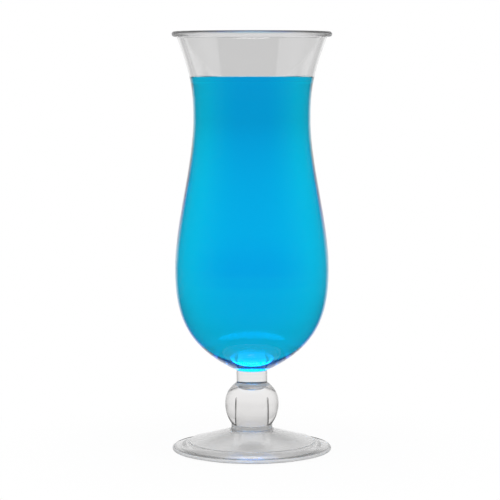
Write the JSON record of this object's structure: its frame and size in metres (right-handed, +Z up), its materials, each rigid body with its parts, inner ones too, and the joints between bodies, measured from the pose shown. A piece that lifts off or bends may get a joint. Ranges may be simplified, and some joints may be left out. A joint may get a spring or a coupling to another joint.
{
  "type": "hurricane glass",
  "caption": "Tall clear hurricane glass with a beaded flared rim, a waist, a rounded belly, a ball stem and a broad conical foot, filled with a blue drink.",
  "frame": {"origin": "on the axis of the glass, in the plane that the foot rests on", "axes": "+Z up along the axis of the glass, +X and +Y alike because the glass is round"},
  "size_m": [0.0792, 0.0792, 0.208],
  "materials": {
    "clear_plastic": "clear, polished by its mould",
    "blue_drink": "clear blue liquid with a still surface"
  },
  "bodies": {
    "root": {"bowl": "clear_plastic", "ball_stem": "clear_plastic", "foot": "clear_plastic", "drink": "blue_drink"}
  },
  "joints": []
}
